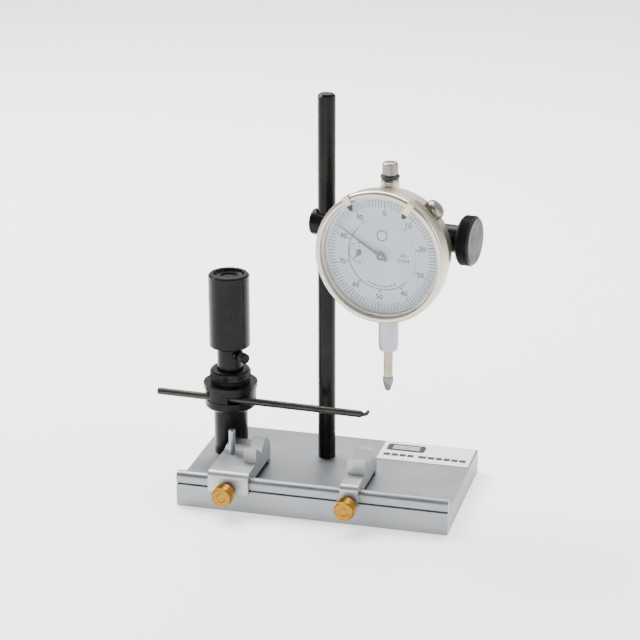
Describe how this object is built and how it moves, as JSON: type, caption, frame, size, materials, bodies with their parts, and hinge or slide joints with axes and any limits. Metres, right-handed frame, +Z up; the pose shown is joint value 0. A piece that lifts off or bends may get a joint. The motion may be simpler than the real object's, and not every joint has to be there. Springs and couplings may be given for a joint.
{
  "type": "dial indicator gauging stand",
  "caption": "Bench stand that checks cartridge cases: two sliding V-blocks on a railed base, a hooked probe rod on a post, and a dial indicator clamped to an upright rod.",
  "frame": {"origin": "centre of the base's flat underside", "axes": "+Z up along the rod, +X to the right along the rail, +Y from the rail to the back"},
  "size_m": [0.1594, 0.0877, 0.1957],
  "materials": {
    "satin_aluminium": "satin brushed extrusion",
    "frosted_aluminium": "fine matte",
    "label_print": "printed label",
    "blackened_steel": "black oxide, oiled",
    "bright_steel": "ground",
    "dark_steel": "dark ground rod",
    "brass": "machined",
    "satin_chrome": "warm satin plating",
    "crystal": "clear",
    "dial_print": "printed dial",
    "pointer_black": "matte",
    "black_rubber": "matte",
    "spring_steel": "blued"
  },
  "bodies": {
    "base": {"base_plate": "satin_aluminium", "base_label": "label_print", "rod_base_screw": "blackened_steel", "post_base_screw": "blackened_steel", "indicator_rod": "blackened_steel", "gauge_post": "blackened_steel", "lower_collar": "blackened_steel"},
    "left_block": {"left_vblock": "frosted_aluminium", "neck_pin": "bright_steel"},
    "left_screw": {"left_thumbscrew": "brass"},
    "right_block": {"right_vblock": "frosted_aluminium"},
    "right_screw": {"right_thumbscrew": "brass"},
    "collar": {"upper_collar": "blackened_steel"},
    "probe": {"probe_rod": "dark_steel"},
    "nut": {"collar_nut": "blackened_steel"},
    "stop": {"stop_sleeve": "blackened_steel"},
    "stop_lock": {"stop_screw": "blackened_steel"},
    "bush": {"rod_bush": "blackened_steel"},
    "clamp": {"clamp_body": "blackened_steel"},
    "clamp_screw": {"clamp_stud": "bright_steel", "clamp_sleeve": "blackened_steel", "clamp_knob": "blackened_steel"},
    "indicator": {"indicator_case": "satin_chrome", "back_cover": "satin_chrome", "back_screws": "bright_steel", "stem": "bright_steel", "upper_guard": "satin_chrome", "movement_frame": "brass", "dial_centre": "dial_print"},
    "spindle": {"spindle_rod": "bright_steel", "contact_point": "bright_steel", "lift_cap": "satin_chrome", "bumper_ring": "black_rubber", "return_spring": "spring_steel"},
    "bezel": {"bezel": "satin_chrome", "crystal": "crystal", "dial_face": "dial_print"},
    "low_clip": {"low_marker": "satin_chrome"},
    "high_clip": {"high_marker": "satin_chrome"},
    "bezel_lock": {"bezel_lock_screw": "satin_chrome"},
    "pointer": {"main_pointer": "pointer_black", "centre_arbor": "bright_steel"},
    "counter": {"counter_pointer": "pointer_black", "counter_arbor": "brass"},
    "drive": {"drive_gear": "brass", "hairspring": "spring_steel"}
  },
  "joints": [
    {"name": "left_block_slide", "type": "slide", "parent": "base", "child": "left_block", "axis": [1, 0, 0], "range_m": [-0.015, 0.018]},
    {"name": "left_screw_turn", "type": "hinge", "parent": "left_block", "child": "left_screw", "pos_m": [-0.04068, -0.0381, 0.0116], "axis": [0, -1, 0], "continuous": true},
    {"name": "right_block_slide", "type": "slide", "parent": "base", "child": "right_block", "axis": [1, 0, 0], "range_m": [-0.022, 0.04]},
    {"name": "right_screw_turn", "type": "hinge", "parent": "right_block", "child": "right_screw", "pos_m": [0.01932, -0.0381, 0.0116], "axis": [0, -1, 0], "continuous": true},
    {"name": "collar_swivel", "type": "hinge", "parent": "base", "child": "collar", "pos_m": [-0.05273, 0.0073, 0.044], "axis": [0, 0, 1], "range_deg": [-8, 8]},
    {"name": "probe_slide", "type": "slide", "parent": "collar", "child": "probe", "axis": [0.9993, -0.0372, 0], "range_m": [-0.055, 0.005]},
    {"name": "nut_turn", "type": "hinge", "parent": "base", "child": "nut", "pos_m": [-0.05273, 0.0073, 0.052], "axis": [0, 0, 1], "continuous": true},
    {"name": "stop_slide", "type": "slide", "parent": "base", "child": "stop", "axis": [0, 0, 1], "range_m": [0, 0.018]},
    {"name": "stop_lock_turn", "type": "hinge", "parent": "stop", "child": "stop_lock", "pos_m": [-0.05273, 0.0073, 0.0644], "axis": [0.766, -0.6428, 0], "continuous": true},
    {"name": "head_slide", "type": "slide", "parent": "base", "child": "bush", "axis": [0, 0, 1], "range_m": [-0.025, 0.05]},
    {"name": "head_swing", "type": "hinge", "parent": "bush", "child": "clamp", "pos_m": [-0.00487, 0.0126, 0.1325], "axis": [0, 0, 1], "range_deg": [-15, 60]},
    {"name": "indicator_tilt", "type": "hinge", "parent": "clamp", "child": "indicator", "pos_m": [0.03388, 0.00695, 0.1325], "axis": [0.9895, -0.1444, 0], "range_deg": [-20, 20]},
    {"name": "clamp_screw_turn", "type": "hinge", "parent": "clamp", "child": "clamp_screw", "pos_m": [0.0545, 0.00394, 0.1325], "axis": [0.9895, -0.1444, 0], "continuous": true},
    {"name": "spindle_slide", "type": "slide", "parent": "indicator", "child": "spindle", "axis": [0, 0, 1], "range_m": [0, 0.0127], "stiffness_N_per_m": 40, "springref_m": -0.02, "deforming": ["return_spring"]},
    {"name": "bezel_turn", "type": "hinge", "parent": "indicator", "child": "bezel", "pos_m": [0.02999, -0.01977, 0.1294], "axis": [-0.1444, -0.9895, 0], "continuous": true},
    {"name": "low_marker_turn", "type": "hinge", "parent": "bezel", "child": "low_clip", "pos_m": [0.02999, -0.01977, 0.1294], "axis": [-0.1444, -0.9895, 0], "range_deg": [-25, 60]},
    {"name": "high_marker_turn", "type": "hinge", "parent": "bezel", "child": "high_clip", "pos_m": [0.02999, -0.01977, 0.1294], "axis": [-0.1444, -0.9895, 0], "range_deg": [-60, 25]},
    {"name": "bezel_lock_turn", "type": "hinge", "parent": "indicator", "child": "bezel_lock", "pos_m": [0.05297, -0.01464, 0.1514], "axis": [0.6997, -0.1021, 0.7071], "continuous": true},
    {"name": "pointer_turn", "type": "hinge", "parent": "indicator", "child": "pointer", "pos_m": [0.02999, -0.01977, 0.1294], "axis": [-0.1444, -0.9895, 0], "range_deg": [-1801, 1]},
    {"name": "counter_turn", "type": "hinge", "parent": "indicator", "child": "counter", "pos_m": [0.0189, -0.01816, 0.1294], "axis": [-0.1444, -0.9895, 0], "range_deg": [-181, 1]},
    {"name": "drive_turn", "type": "hinge", "parent": "indicator", "child": "drive", "pos_m": [0.03535, -0.01348, 0.1204], "axis": [-0.1444, -0.9895, 0], "range_deg": [-320, 1]}
  ],
  "couplings": [
    {"joint": "pointer_turn", "follows": "spindle_slide", "rad_per_m": -2473.7},
    {"joint": "counter_turn", "follows": "spindle_slide", "rad_per_m": -247.37},
    {"joint": "drive_turn", "follows": "spindle_slide", "rad_per_m": -434.78}
  ]
}
